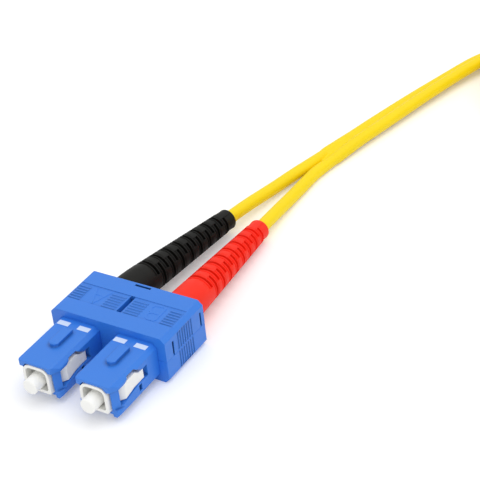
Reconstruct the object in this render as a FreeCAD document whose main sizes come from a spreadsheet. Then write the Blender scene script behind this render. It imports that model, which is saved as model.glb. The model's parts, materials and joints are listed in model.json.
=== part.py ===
import FreeCAD
import Part
import Sketcher
import math
import os
from types import SimpleNamespace

Vector = FreeCAD.Vector

# Driving dimensions in millimetres, angles in degrees. Along a plug, places are measured backwards
# from the front face of its grip. Heights and widths are measured from the plug's axis.
DIMENSIONS = {
    # Two plugs side by side in a clip that lies on the floor
    "plug_pitch": 12.7,
    "axis_height": 4.8,
    "far_end_x": 84.65,
    "far_end_y": 46.65,
    # Clip, made as two halves that meet beside the plugs' axes
    "clip_length": 13.1,
    "clip_width": 25.5,
    "clip_height": 10.0,
    "clip_chamfer": 0.95,
    "clip_parting": 4.9,
    "clip_rear_wall": 2.0,
    "boot_hole_clearance": 0.25,
    "band_front": 3.9,
    "band_length": 5.2,
    "band_depth": 0.15,
    "centre_slot_width": 1.0,
    "centre_slot_depth": 3.0,
    "rear_slit_width": 3.5,
    "rear_slit_length": 0.45,
    "rear_slit_margin": 0.5,
    "rib_width": 0.3,
    "rib_pitch": 0.75,
    "rib_margin": 0.3,
    "rib_inner_start": 0.9,
    "rib_inner_end": 4.1,
    "rib_outer_start": 9.0,
    "rib_outer_end": 11.7,
    "arm_front": 2.5,
    "arm_rear": 11.9,
    "arm_slit_width": 0.4,
    "arm_height": 3.1,
    "side_groove_front": 4.0,
    "side_groove_pitch": 0.75,
    "side_groove_width": 0.4,
    "side_groove_depth": 0.15,
    "side_groove_height": 3.7,
    "side_groove_gap": 0.25,
    # Grip, the sliding outer sleeve
    "grip_width": 9.0,
    "grip_height": 7.4,
    "grip_chamfer": 0.8,
    "grip_length": 25.0,
    "lead_in_width": 1.0,
    "lead_in_length": 1.7,
    "mouth_width": 1.55,
    "mouth_length": 2.5,
    "mouth_bottom": 2.0,
    "mouth_step": 0.9,
    "window_front": 2.0,
    "window_rear": 10.4,
    "window_bottom": 0.65,
    "window_nose_bottom": 1.6,
    "window_nose_end": 7.0,
    "window_top": 2.4,
    "window_peak": 3.15,
    "window_rear_top": 1.7,
    "window_peak_start": 4.7,
    "window_peak_end": 6.8,
    "window_slope": 1.0,
    "notch_front": 7.4,
    "notch_length": 0.8,
    "notch_top": 0.95,
    "notch_bottom": 2.2,
    "key_width": 2.0,
    "key_height": 0.65,
    "key_front": 5.5,
    "key_length": 5.2,
    "key_corner": 0.6,
    "retainer_front": 17.0,
    "retainer_length": 1.5,
    "retainer_depth": 0.5,
    "retainer_height": 5.6,
    # Plug frame, the inner housing
    "frame_width": 6.4,
    "frame_height": 6.3,
    "frame_corner": 1.2,
    "frame_reach": 0.1,
    "frame_rear": 17.6,
    "nose_width": 5.85,
    "nose_top": 3.1,
    "nose_bottom": 2.4,
    "nose_corner": 1.7,
    "nose_edge": 0.3,
    "nose_rear": 5.0,
    "nose_wall": 0.62,
    "frame_clearance": 0.05,
    "latch_front": 2.2,
    "latch_ramp_end": 3.6,
    "latch_rear": 9.35,
    "latch_width": 8.6,
    "latch_nose_bottom": 1.35,
    "latch_nose_end": 6.3,
    "latch_bottom": 0.5,
    "latch_peak": 2.3,
    "latch_peak_end": 7.0,
    "latch_step": 8.0,
    "latch_top": 1.55,
    "seat_front": 6.2,
    "seat_rear": 7.2,
    "spring_bore": 2.5,
    # Ferrule, flange, spring and fibre
    "ferrule_radius": 1.25,
    "ferrule_clearance": 0.1,
    "ferrule_reach": 0.5,
    "ferrule_rear": 10.0,
    "ferrule_chamfer": 0.35,
    "collar_radius": 2.2,
    "collar_length": 1.4,
    "tail_radius": 1.45,
    "tail_rear": 16.2,
    "fibre_radius": 0.45,
    "fibre_clearance": 0.1,
    "fibre_rear": 26.0,
    "spring_radius": 1.98,
    "spring_wire": 0.45,
    "spring_length": 6.0,
    "spring_turns": 3.5,
    # Back post and crimp sleeve
    "post_flange_radius": 3.1,
    "post_flange_length": 1.0,
    "post_radius": 1.9,
    "post_rear": 24.0,
    "post_bore": 0.9,
    "post_step": 19.0,
    "tail_clearance": 0.1,
    "sleeve_wall": 0.4,
    "sleeve_neck": 24.6,
    "sleeve_rear": 27.0,
    # Bend-relief boot
    "boot_front": 19.0,
    "boot_spigot_radius": 2.8,
    "boot_shoulder_front": 25.4,
    "boot_shoulder_radius": 3.35,
    "boot_bend_start": 27.2,
    "boot_neck_length": 7.3,
    "boot_taper_length": 34.4,
    "boot_neck_radius": 3.75,
    "boot_end_radius": 2.2,
    "boot_bore_clearance": 0.05,
    "boot_a_turn": 7.0,
    "boot_a_roll": 21.4,
    "boot_b_turn": 5.0,
    "boot_b_roll": 129.0,
    "slot_first": 8.5,
    "slot_pitch": 3.05,
    "slot_width": 0.65,
    "slot_floor": 1.85,
    "slot_half_angle": 62.0,
    "slot_floor_break": 20.0,
    # Dust cap
    "cap_clearance": 0.03,
    "cap_wall": 0.27,
    "cap_front": 2.3,
    "cap_rear": 4.9,
    "cap_end_gap": 0.1,
    "cap_chamfer": 0.3,
    # Cable: two round jackets, side by side along most of its length
    "jacket_radius": 1.4,
    "jacket_front": 24.2,
    "jacket_bore_rear": 27.6,
    "zip_corner": 0.8,
    # Coil of the length past the picture's edge, and the strap round it
    "coil_x": 54.0,
    "coil_y": 129.45,
    "coil_middle_radius": 27.5,
    "coil_layers": 2.0,
    "coil_turns_a_layer": 3.25,
    "tie_width": 10.0,
    "tie_thickness": 0.8,
}
SLOT_ROWS = 8
TOP_RIBS = 6
SIDE_GROOVES = 7
# Round pieces with many faces are drawn with flats: boots, hidden turned pieces, jackets, coil and springs
BOOT_SIDES = 12
TURNED_SIDES = 10
JACKET_SIDES = 6
COIL_SIDES = 20
SPRING_SIDES = 6
NECK_STATIONS = 2
NOSE_CORNER_STEPS = 3

# Routes of the cable, chosen by hand, in millimetres from the middle of the near clip's base
LEG_A_ROUTE = [(-2.2, 50.0, 2.6), (-1.25, 57.4, 1.75), (-0.1, 64.6, 1.42), (1.74, 71.33, 1.4)]
LEG_B_ROUTE = [(4.3, 50.2, 1.95), (4.1, 57.4, 1.5), (4.05, 64.4, 1.4), (4.51, 70.77, 1.4)]
LEG_RUN_PAST_BOOT = 33.0
ZIP_ROUTE = [
    (3.15, 71.2, 1.4),
    (3.95, 75.4, 1.4),
    (5.6, 82.9, 1.4),
    (8.3, 94.6, 1.4),
    (11.2, 107.0, 1.4),
    (14.6, 119.6, 1.4),
    (17.4, 128.1, 1.4),
    (22.0, 136.6, 1.4),
    (28.6, 146.6, 1.4),
]
FAR_LEG_A_ROUTE = [(84.65, 129.4, 9.8), (84.2, 118.0, 9.2), (81.0, 105.0, 7.0), (78.3, 92.5, 4.8)]
FAR_LEG_B_ROUTE = [(84.65, 129.4, 7.0), (85.3, 118.0, 6.6), (88.5, 105.0, 5.4), (91.0, 92.5, 4.8)]
LARGEST_ARC_SHARE = 0.45
BEVEL_ANGLE = -45

doc = FreeCAD.newDocument("patch_cable")
sheet = doc.addObject("Spreadsheet::Sheet", "dims")
for row, (name, amount) in enumerate(DIMENSIONS.items(), 1):
    sheet.set(f"A{row}", name)
    sheet.set(f"B{row}", str(amount))
    sheet.setAlias(f"B{row}", name)
doc.recompute()


class Size:
    """A number with the expression, in the sheet's names, that gives it."""

    def __init__(self, number, text):
        self.number = number
        self.text = text

    def __add__(self, other):
        other = as_size(other)
        return Size(self.number + other.number, f"({self.text} + {other.text})")

    def __sub__(self, other):
        other = as_size(other)
        return Size(self.number - other.number, f"({self.text} - {other.text})")

    def __rsub__(self, other):
        return as_size(other) - self

    def __mul__(self, other):
        other = as_size(other)
        return Size(self.number * other.number, f"({self.text} * {other.text})")

    def __truediv__(self, other):
        other = as_size(other)
        return Size(self.number / other.number, f"({self.text} / {other.text})")

    def __neg__(self):
        return Size(-self.number, f"(0 - {self.text})")

    __radd__ = __add__
    __rmul__ = __mul__


def as_size(amount):
    """The amount itself, or a plain number as a size that no cell changes."""
    return amount if isinstance(amount, Size) else Size(amount, f"({amount})")


def sine(angle):
    """Sine of an angle in degrees."""
    return Size(math.sin(math.radians(angle.number)), f"sin({angle.text})")


def cosine(angle):
    """Cosine of an angle in degrees."""
    return Size(math.cos(math.radians(angle.number)), f"cos({angle.text})")


d = SimpleNamespace(**{name: Size(float(sheet.get(name)), f"dims.{name}") for name in DIMENSIONS})
pieces = []


def bind(thing, path, amount):
    """Ties a property to the sheet."""
    thing.setExpression(path, as_size(amount).text)


def new_body(label, place):
    """An empty body, listed as a piece of the object, at a place that follows the sheet."""
    body = doc.addObject("PartDesign::Body", label)
    body.Label = label
    for axis, amount in zip("xyz", place):
        bind(body, f"Placement.Base.{axis}", amount)
    pieces.append(body)
    return body


def new_sketch(body, role, offset=0):
    """A sketch on one of the body's own planes, moved along the plane's normal."""
    sketch = body.newObject("Sketcher::SketchObject", "Sketch")
    support = next(feature for feature in body.Origin.OriginFeatures if feature.Role == role)
    sketch.AttachmentSupport = [(support, "")]
    sketch.MapMode = "FlatFace"
    bind(sketch, "AttachmentOffset.Base.z", offset)
    return sketch


def section_sketch(body, along):
    """A sketch across the plug's axis, with its x to the right and its y up."""
    return new_sketch(body, "XZ_Plane", -as_size(along))


def outline(sketch, points):
    """A closed outline of straight lines, each corner placed by two sizes."""
    corners = [(as_size(x), as_size(y)) for x, y in points]
    spots = [Vector(x.number, y.number, 0) for x, y in corners]
    first = sketch.GeometryCount
    count = len(corners)
    sketch.addGeometry([Part.LineSegment(spots[i], spots[(i + 1) % count]) for i in range(count)], False)
    sketch.addConstraint(
        [Sketcher.Constraint("Coincident", first + i, 2, first + (i + 1) % count, 1) for i in range(count)]
    )
    for i, (x, y) in enumerate(corners):
        for kind, amount in (("DistanceX", x), ("DistanceY", y)):
            index = sketch.addConstraint(Sketcher.Constraint(kind, -1, 1, first + i, 1, amount.number))
            bind(sketch, f"Constraints[{index}]", amount)


def rectangle(x0, y0, x1, y1):
    return [(x0, y0), (x1, y0), (x1, y1), (x0, y1)]


def octagon(x, y, width, height, corner):
    """A rectangle round (x, y) with its corners cut off."""
    wide, tall = width / 2, height / 2
    return [
        (x - wide + corner, y - tall),
        (x + wide - corner, y - tall),
        (x + wide, y - tall + corner),
        (x + wide, y + tall - corner),
        (x + wide - corner, y + tall),
        (x - wide + corner, y + tall),
        (x - wide, y + tall - corner),
        (x - wide, y - tall + corner),
    ]


def arch(width, top, bottom, corner, edge):
    """An outline with rounded upper corners and its lower corners cut off."""
    wide = width / 2
    right = [(wide - edge, -bottom), (wide, edge - bottom)]
    for step in range(NOSE_CORNER_STEPS + 1):
        angle = math.pi / 2 * step / NOSE_CORNER_STEPS
        right.append((wide - corner * (1 - math.cos(angle)), top - corner * (1 - math.sin(angle))))
    return right + [(-x, y) for x, y in reversed(right)]


def regular(x, y, radius, sides):
    """A regular polygon round (x, y) with its corners on the radius and a flat on top."""
    steps = [math.radians(360 * (corner + 0.5) / sides) for corner in range(sides)]
    return [(x + radius * math.sin(step), y + radius * math.cos(step)) for step in steps]


def flats_on(radius, sides):
    """The corner radius of a regular polygon whose flats touch that radius."""
    return radius / math.cos(math.pi / sides)


def feature(body, kind, sketch, **amounts):
    """A sketch-based feature with its sizes tied to the sheet."""
    made = body.newObject(f"PartDesign::{kind}", kind)
    made.Profile = sketch
    for name, amount in amounts.items():
        bind(made, name, amount)
    return made


def pad(body, sketch, length, backwards=False):
    made = feature(body, "Pad", sketch, Length=length)
    made.Reversed = backwards
    return made


def pocket(body, sketch, depth, backwards=False):
    made = feature(body, "Pocket", sketch, Length=depth)
    made.Reversed = backwards
    return made


def slot_through(body, sketch):
    """A cut right through the body, both ways from its sketch."""
    made = feature(body, "Pocket", sketch)
    made.Type = "ThroughAll"
    made.SideType = "Symmetric"
    return made


def stepped_piece(label, place, steps, bores):
    """A hidden turned piece: steps and bores along its axis, each (radius, start, end)."""
    body = new_body(label, place)
    for radius, start, end in steps:
        add_step(body, radius, start, end, TURNED_SIDES)
    for radius, start, end in bores:
        cut_bore(body, radius, start, end, TURNED_SIDES)
    return body


def add_step(body, radius, start, end, sides):
    sketch = section_sketch(body, start)
    outline(sketch, regular(0, 0, radius, sides))
    pad(body, sketch, end - start, backwards=True)


def cut_bore(body, radius, start, end, sides):
    sketch = section_sketch(body, start)
    outline(sketch, regular(0, 0, flats_on(radius, sides), sides))
    pocket(body, sketch, end - start)


def repeat_along(body, original, sketch, axis, pitch, count):
    """Copies of a feature in a row along one axis of its sketch."""
    row = body.newObject("PartDesign::LinearPattern", "LinearPattern")
    row.Originals = [original]
    row.Direction = (sketch, [axis])
    row.Occurrences = count
    bind(row, "Length", pitch * (count - 1))
    body.Tip = row
    return row


# Places that several pieces share
plug_y = d.clip_length / 2 - d.clip_rear_wall - d.grip_length
collar_rear = d.seat_rear + d.collar_length
spring_rear = collar_rear + d.spring_length
post_flange_rear = d.frame_rear + d.post_flange_length
sleeve_radius = d.post_radius + d.sleeve_wall
boot_end = d.boot_bend_start + d.boot_taper_length
boot_bore = d.jacket_radius + d.boot_bore_clearance
cap_bore = d.ferrule_radius + d.cap_clearance
cap_radius = cap_bore + d.cap_wall


def grip_sleeve(label, place):
    """Square sleeve, open at both ends, with grooves for the clip's ribs."""
    body = new_body(label, place)
    section = section_sketch(body, 0)
    outline(section, octagon(as_size(0), as_size(0), d.grip_width, d.grip_height, d.grip_chamfer))
    pad(body, section, d.grip_length, backwards=True)
    inside = section_sketch(body, 0)
    gap = d.frame_clearance * 2
    outline(
        inside,
        octagon(as_size(0), as_size(0), d.frame_width + gap, d.frame_height + gap, d.frame_corner),
    )
    slot_through(body, inside)
    grooves = new_sketch(body, "XY_Plane")
    half = d.grip_width / 2
    for side in (1, -1):
        outline(
            grooves,
            rectangle(
                side * (half - d.retainer_depth),
                d.retainer_front,
                side * half,
                d.retainer_front + d.retainer_length,
            ),
        )
    slot_through(body, grooves)
    return body


def make_grip(label, place):
    """Sleeve with a key on top, a latch window in each side, a lead-in and a cut-back lower lip."""
    body = grip_sleeve(label, place)
    sides = new_sketch(body, "YZ_Plane")
    outline(
        sides,
        [
            (d.window_front, -d.window_nose_bottom),
            (d.window_nose_end, -d.window_bottom),
            (d.window_rear, -d.window_bottom),
            (d.window_rear, d.window_rear_top),
            (d.window_peak_end + d.window_slope + d.window_slope, d.window_rear_top),
            (d.window_peak_end + d.window_slope, d.window_top),
            (d.window_peak_end, d.window_peak),
            (d.window_peak_start, d.window_peak),
            (d.window_peak_start - d.window_slope, d.window_top),
            (d.window_front, d.window_top),
        ],
    )
    outline(
        sides,
        rectangle(d.notch_front, -d.notch_bottom, d.notch_front + d.notch_length, -d.notch_top),
    )
    outline(sides, rectangle(0, -d.grip_height / 2, d.mouth_step, -d.mouth_bottom))
    slot_through(body, sides)
    edges = new_sketch(body, "XY_Plane")
    mouth = new_sketch(body, "XY_Plane", d.window_top)
    half = d.grip_width / 2
    for side in (1, -1):
        outline(edges, [(side * (half - d.lead_in_width), 0), (side * half, 0), (side * half, d.lead_in_length)])
        outline(mouth, [(side * (half - d.mouth_width), 0), (side * half, 0), (side * half, d.mouth_length)])
    slot_through(body, edges)
    pocket(body, mouth, d.window_top + d.mouth_bottom)
    under = new_sketch(body, "XY_Plane", -d.grip_height / 2)
    outline(under, rectangle(-d.nose_width / 2, 0, d.nose_width / 2, d.mouth_length))
    pocket(body, under, (d.grip_height - d.frame_height) / 2, backwards=True)
    add_key(body)


def add_key(body):
    """The key on top of a grip, with its front corners cut off."""
    key = new_sketch(body, "XY_Plane", d.grip_height / 2)
    key_rear = d.key_front + d.key_length
    outline(
        key,
        [
            (d.key_corner - d.key_width / 2, d.key_front),
            (d.key_width / 2 - d.key_corner, d.key_front),
            (d.key_width / 2, d.key_front + d.key_corner),
            (d.key_width / 2, key_rear),
            (-d.key_width / 2, key_rear),
            (-d.key_width / 2, d.key_front + d.key_corner),
        ],
    )
    pad(body, key, d.key_height)


def frame_block(label, place):
    """The inner housing's outside."""
    body = new_body(label, place)
    nose = section_sketch(body, -d.frame_reach)
    outline(nose, arch(d.nose_width, d.nose_top, d.nose_bottom, d.nose_corner, d.nose_edge))
    pad(body, nose, d.frame_reach + d.nose_rear, backwards=True)
    section = section_sketch(body, d.nose_rear)
    outline(section, octagon(as_size(0), as_size(0), d.frame_width, d.frame_height, d.frame_corner))
    pad(body, section, d.frame_rear - d.nose_rear, backwards=True)
    return body


def make_plug_frame(label, place):
    """Inner housing with a ramped latch shoulder on each side and a stepped bore."""
    body = frame_block(label, place)
    latches = new_sketch(body, "YZ_Plane")
    outline(
        latches,
        [
            (d.latch_front, -d.latch_nose_bottom),
            (d.latch_nose_end, -d.latch_bottom),
            (d.latch_rear, -d.latch_bottom),
            (d.latch_rear, d.latch_top),
            (d.latch_step, d.latch_top),
            (d.latch_peak_end, d.latch_peak),
            (d.latch_front, d.latch_peak),
        ],
    )
    shoulders = pad(body, latches, d.latch_width)
    shoulders.SideType = "Symmetric"
    ramps = new_sketch(body, "XY_Plane")
    for side in (1, -1):
        outline(
            ramps,
            [
                (side * d.nose_width / 2, d.latch_front),
                (side * d.latch_width / 2, d.latch_front),
                (side * d.latch_width / 2, d.latch_ramp_end),
            ],
        )
    slot_through(body, ramps)
    bore_frame(body)


def bore_frame(body):
    """The recess round the dust cap, the ferrule's hole and the spring's bore, from front to rear."""
    recess = section_sketch(body, -d.frame_reach)
    wall = d.nose_wall
    width = d.nose_width - wall * 2
    outline(recess, arch(width, d.nose_top - wall, d.nose_bottom - wall, d.nose_corner - wall, d.nose_edge))
    pocket(body, recess, d.frame_reach + d.seat_front)
    cut_bore(body, d.ferrule_radius + d.ferrule_clearance, d.seat_front, d.seat_rear, TURNED_SIDES)
    cut_bore(body, d.spring_bore, d.seat_rear, d.frame_rear, TURNED_SIDES)


def bevelled_bar(label, place, radius, front, rear, bevel, sides):
    """A bar along the axis with its front edge bevelled."""
    body = new_body(label, place)
    add_step(body, radius, front + bevel, rear, sides)
    sketch = section_sketch(body, front + bevel)
    outline(sketch, regular(0, 0, radius, sides))
    tip = pad(body, sketch, bevel)
    tip.TaperAngle = BEVEL_ANGLE
    return body


def make_ferrule(label, place):
    bevelled_bar(
        label, place, d.ferrule_radius, -d.ferrule_reach, d.ferrule_rear, d.ferrule_chamfer, BOOT_SIDES
    )


def make_flange(label, place):
    """Collar that seats in the plug frame, with a tail that guides the spring."""
    stepped_piece(
        label,
        place,
        [(d.collar_radius, d.seat_rear, collar_rear), (d.tail_radius, collar_rear, d.tail_rear)],
        [
            (d.ferrule_radius, d.seat_rear, d.ferrule_rear),
            (d.fibre_radius + d.fibre_clearance, d.ferrule_rear, d.tail_rear),
        ],
    )


def make_spring(label, place):
    """Square wire wound with flats, from the flange's collar back to the post."""
    radius, half = d.spring_radius.number, d.spring_wire.number / 2
    start, rise = collar_rear.number + half, d.spring_length.number - d.spring_wire.number
    corners = round(d.spring_turns.number * SPRING_SIDES)
    turns = [2 * math.pi * corner / SPRING_SIDES for corner in range(corners + 1)]
    spots = [
        Vector(radius * math.cos(turn), start + rise * corner / corners, radius * math.sin(turn))
        for corner, turn in enumerate(turns)
    ]
    wire = [(radius - half, start - half), (radius + half, start - half),
            (radius + half, start + half), (radius - half, start + half)]
    rim = [Vector(x, y, 0) for x, y in wire]
    solid = Part.makePolygon(spots).makePipeShell([Part.makePolygon(rim + rim[:1])], True, False, 1)
    piece = doc.addObject("Part::Feature", label)
    piece.Label = label
    piece.Shape = solid
    piece.Placement = FreeCAD.Placement(Vector(*[amount.number for amount in place]), FreeCAD.Rotation())
    pieces.append(piece)


def make_back_post(label, place):
    """Plug that closes the frame behind the spring, with a spigot for the crimp."""
    stepped_piece(
        label,
        place,
        [
            (d.spring_bore, spring_rear, d.frame_rear),
            (d.post_flange_radius, d.frame_rear, post_flange_rear),
            (d.post_radius, post_flange_rear, d.post_rear),
        ],
        [(d.tail_radius + d.tail_clearance, spring_rear, d.post_step), (d.post_bore, d.post_step, d.post_rear)],
    )


def make_crimp_sleeve(label, place):
    """Sleeve on the post's spigot that narrows to grip the cable's jacket."""
    stepped_piece(
        label,
        place,
        [
            (sleeve_radius, post_flange_rear, d.sleeve_neck),
            (d.jacket_radius + d.sleeve_wall, d.sleeve_neck, d.sleeve_rear),
        ],
        [(d.post_radius, post_flange_rear, d.jacket_front), (d.jacket_radius, d.jacket_front, d.sleeve_rear)],
    )


def make_fibre(label, place):
    stepped_piece(label, place, [(d.fibre_radius, d.ferrule_rear, d.fibre_rear)], [])


def make_dust_cap(label, place):
    """Push-on cap, closed in front, with its front edge bevelled."""
    body = bevelled_bar(label, place, cap_radius, -d.cap_front, d.cap_rear, d.cap_chamfer, BOOT_SIDES)
    cut_bore(body, cap_bore, -d.ferrule_reach - d.cap_end_gap, d.cap_rear, TURNED_SIDES)


def boot_root(label, place):
    """The spigot in the grip and the shoulder in the clip, hollow over the crimp sleeve."""
    body = new_body(label, place)
    add_step(body, d.boot_spigot_radius, d.boot_front, d.boot_shoulder_front, BOOT_SIDES)
    add_step(body, d.boot_shoulder_radius, d.boot_shoulder_front, d.boot_bend_start, BOOT_SIDES)
    return body


def boot_section(sketch, along):
    """The boot's outline, that far along its taper."""
    radius = d.boot_neck_radius + (d.boot_end_radius - d.boot_neck_radius) * along / d.boot_taper_length
    outline(sketch, regular(0, 0, radius, BOOT_SIDES))


def loft(body, kind, sections):
    """A straight-sided loft through sections of the boot."""
    made = body.newObject(f"PartDesign::{kind}", kind)
    made.Profile = sections[0]
    made.Sections = [(section, [""]) for section in sections[1:]]
    made.Ruled = True


def make_straight_boot(label, place):
    """Plain straight boot: its neck and a thinner end."""
    body = boot_root(label, place)
    neck_end = d.boot_bend_start + d.boot_neck_length
    add_step(body, d.boot_neck_radius, d.boot_bend_start, neck_end, BOOT_SIDES)
    add_step(body, (d.boot_neck_radius + d.boot_end_radius) / 2, neck_end, boot_end, BOOT_SIDES)
    cut_bore(body, sleeve_radius, d.boot_front, d.boot_bend_start, TURNED_SIDES)
    cut_bore(body, boot_bore, d.boot_bend_start, boot_end, JACKET_SIDES)


def bend_radius(turn):
    """The radius of the boot's neck when it turns by that angle."""
    return d.boot_neck_length / turn * (180 / math.pi)


def bent_sketch(body, bend, turn, past):
    """A sketch across the boot's axis after a turn of its neck and a straight run past it."""
    along = d.boot_bend_start + bend * sine(turn) + past * cosine(turn)
    sketch = section_sketch(body, along)
    sketch.AttachmentOffset = FreeCAD.Placement(Vector(), FreeCAD.Rotation(Vector(0, -1, 0), 1))
    bind(sketch, "AttachmentOffset.Base.x", bend * (1 - cosine(turn)) + past * sine(turn))
    bind(sketch, "AttachmentOffset.Rotation.Angle", turn)
    return sketch


def cut_slot_rows(body, turn, roll, first, middle):
    """Rows of two facing slots along the boot, round the direction middle and its opposite."""
    sketch = bent_sketch(body, bend_radius(turn), turn, first - d.boot_neck_length)
    reach = d.boot_neck_radius / cosine(d.slot_half_angle)
    for side in (0, 180):
        corners = [
            (reach, -d.slot_half_angle),
            (d.slot_floor, -d.slot_half_angle),
            (d.slot_floor, -d.slot_floor_break),
            (d.slot_floor, d.slot_floor_break),
            (d.slot_floor, d.slot_half_angle),
            (reach, d.slot_half_angle),
        ]
        turned = [(radius, angle + middle + side - roll) for radius, angle in corners]
        outline(sketch, [(radius * sine(angle), radius * cosine(angle)) for radius, angle in turned])
    slots = pocket(body, sketch, d.slot_width)
    slots.SideType = "Symmetric"
    rows = repeat_along(body, slots, sketch, "N_Axis", d.slot_pitch, SLOT_ROWS)
    rows.Reversed = True


def make_bent_boot(label, place, turn, roll):
    """Slotted boot: spigot and shoulder, a bent neck and a straight taper, rolled to the bend's direction."""
    body = boot_root(label, place)
    body.Placement = FreeCAD.Placement(body.Placement.Base, FreeCAD.Rotation(Vector(0, 1, 0), 1))
    bind(body, "Placement.Rotation.Angle", roll)
    bend = bend_radius(turn)
    straight = d.boot_taper_length - d.boot_neck_length
    shares = [station / NECK_STATIONS for station in range(NECK_STATIONS + 1)]
    stations = [(turn * share, as_size(0), d.boot_neck_length * share) for share in shares]
    stations.append((turn, straight, d.boot_taper_length))
    outside = []
    inside = []
    for angle, past, along in stations:
        outside.append(bent_sketch(body, bend, angle, past))
        boot_section(outside[-1], along)
        inside.append(bent_sketch(body, bend, angle, past))
        outline(inside[-1], regular(0, 0, flats_on(boot_bore, JACKET_SIDES), JACKET_SIDES))
    loft(body, "AdditiveLoft", outside)
    loft(body, "SubtractiveLoft", inside)
    cut_bore(body, sleeve_radius, d.boot_front, d.boot_bend_start, TURNED_SIDES)
    cut_slot_rows(body, turn, roll, d.slot_first, as_size(0))
    cut_slot_rows(body, turn, roll, d.slot_first + d.slot_pitch / 2, as_size(90))


def clip_half(label, place, bottom, top):
    """One half of a clip: its section, the two beds for the grips and the holes for the boots."""
    body = new_body(label, place)
    front = -d.clip_length / 2
    wide = d.clip_width / 2
    section = section_sketch(body, front)
    low = d.clip_chamfer if bottom is None else bottom
    high = d.clip_height - d.clip_chamfer if top is None else top
    edge = wide - d.clip_chamfer
    right = [(wide, low), (wide, high)]
    if bottom is None:
        right = [(edge, 0)] + right
    if top is None:
        right = right + [(edge, d.clip_height)]
    outline(section, right + [(-x, y) for x, y in reversed(right)])
    pad(body, section, d.clip_length, backwards=True)
    beds = section_sketch(body, front)
    holes = section_sketch(body, front)
    for side in (1, -1):
        x = side * d.plug_pitch / 2
        outline(beds, octagon(x, d.axis_height, d.grip_width, d.grip_height, d.grip_chamfer))
        radius = flats_on(d.boot_shoulder_radius + d.boot_hole_clearance, BOOT_SIDES)
        outline(holes, regular(x, d.axis_height, radius, BOOT_SIDES))
    pocket(body, beds, d.clip_length - d.clip_rear_wall)
    slot_through(body, holes)
    return body


def add_retainers(body, bottom, top):
    """Ribs in the beds that stand in the grips' side grooves."""
    sketch = new_sketch(body, "XY_Plane", bottom)
    front = plug_y + d.retainer_front + d.frame_clearance
    rear = plug_y + d.retainer_front + d.retainer_length - d.frame_clearance
    for side in (1, -1):
        for wall in (1, -1):
            middle = side * d.plug_pitch / 2
            tip = middle + wall * (d.grip_width / 2 - d.retainer_depth + d.frame_clearance)
            outline(sketch, rectangle(tip, front, middle + wall * d.grip_width / 2, rear))
    pad(body, sketch, top - bottom)


def cut_side_grooves(body, bottom):
    """Finger grooves in both sides of a clip half."""
    front = d.side_groove_front - d.clip_length / 2
    for side in (1, -1):
        sketch = new_sketch(body, "YZ_Plane", side * d.clip_width / 2)
        outline(
            sketch,
            rectangle(front, bottom, front + d.side_groove_width, bottom + d.side_groove_height),
        )
        groove = pocket(body, sketch, d.side_groove_depth, backwards=side < 0)
        repeat_along(body, groove, sketch, "H_Axis", d.side_groove_pitch, SIDE_GROOVES)


def detail_upper_half(body):
    """Recessed band with ribs, middle slot, rear slit and spring arms of the near clip's upper half."""
    front = d.band_front - d.clip_length / 2
    rear = front + d.band_length
    band = new_sketch(body, "XY_Plane", d.clip_height)
    outline(band, rectangle(-d.clip_width / 2, front, d.clip_width / 2, rear))
    pocket(body, band, d.band_depth)
    slots = new_sketch(body, "XY_Plane", d.clip_height)
    outline(slots, rectangle(-d.centre_slot_width / 2, front, d.centre_slot_width / 2, rear))
    slit_rear = d.clip_length / 2 - d.rear_slit_margin
    slit_half = d.rear_slit_width / 2
    outline(slots, rectangle(-slit_half, slit_rear - d.rear_slit_length, slit_half, slit_rear))
    pocket(body, slots, d.centre_slot_depth)
    ribs = new_sketch(body, "XY_Plane", d.clip_height - d.band_depth)
    rib_front = front + d.rib_margin
    for side in (1, -1):
        for start, end in ((d.rib_inner_start, d.rib_inner_end), (d.rib_outer_start, d.rib_outer_end)):
            outline(ribs, rectangle(side * start, rib_front, side * end, rib_front + d.rib_width))
    rib = pad(body, ribs, d.band_depth)
    repeat_along(body, rib, ribs, "V_Axis", d.rib_pitch, TOP_RIBS)
    wall = (d.clip_width - d.plug_pitch - d.grip_width) / 2
    for side in (1, -1):
        arms = new_sketch(body, "YZ_Plane", side * d.clip_width / 2)
        for along in (d.arm_front, d.arm_rear):
            y = along - d.clip_length / 2
            half = d.arm_slit_width / 2
            outline(arms, rectangle(y - half, d.clip_parting, y + half, d.clip_parting + d.arm_height))
        pocket(body, arms, wall, backwards=side < 0)
    cut_side_grooves(body, d.clip_parting + d.side_groove_gap)


def make_clip(prefix, place, detailed):
    """The two halves of a clip."""
    rib_bottom = d.axis_height - d.retainer_height / 2
    rib_top = d.axis_height + d.retainer_height / 2
    lower = clip_half(prefix + "clip_lower", place, None, d.clip_parting)
    add_retainers(lower, rib_bottom, d.clip_parting)
    upper = clip_half(prefix + "clip_upper", place, d.clip_parting, None)
    add_retainers(upper, d.clip_parting, rib_top)
    if detailed:
        cut_side_grooves(lower, d.clip_parting - d.side_groove_gap - d.side_groove_height)
        detail_upper_half(upper)


def cord_path(points, radii):
    """Straight runs joined by tangent arcs, with the wire and its length."""
    edges = []
    start = points[0]
    for before, point, after, radius in zip(points, points[1:], points[2:], radii):
        arrive = (point - before).normalize()
        leave = (after - point).normalize()
        turn = arrive.getAngle(leave)
        reach = radius * math.tan(turn / 2)
        inwards = (leave - arrive).normalize()
        middle = point + inwards * (radius / math.cos(turn / 2) - radius)
        arc_start, arc_end = point - arrive * reach, point + leave * reach
        edges.append(Part.LineSegment(start, arc_start).toShape())
        edges.append(Part.Arc(arc_start, middle, arc_end).toShape())
        start = arc_end
    edges.append(Part.LineSegment(start, points[-1]).toShape())
    return Part.Wire(edges)


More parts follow.
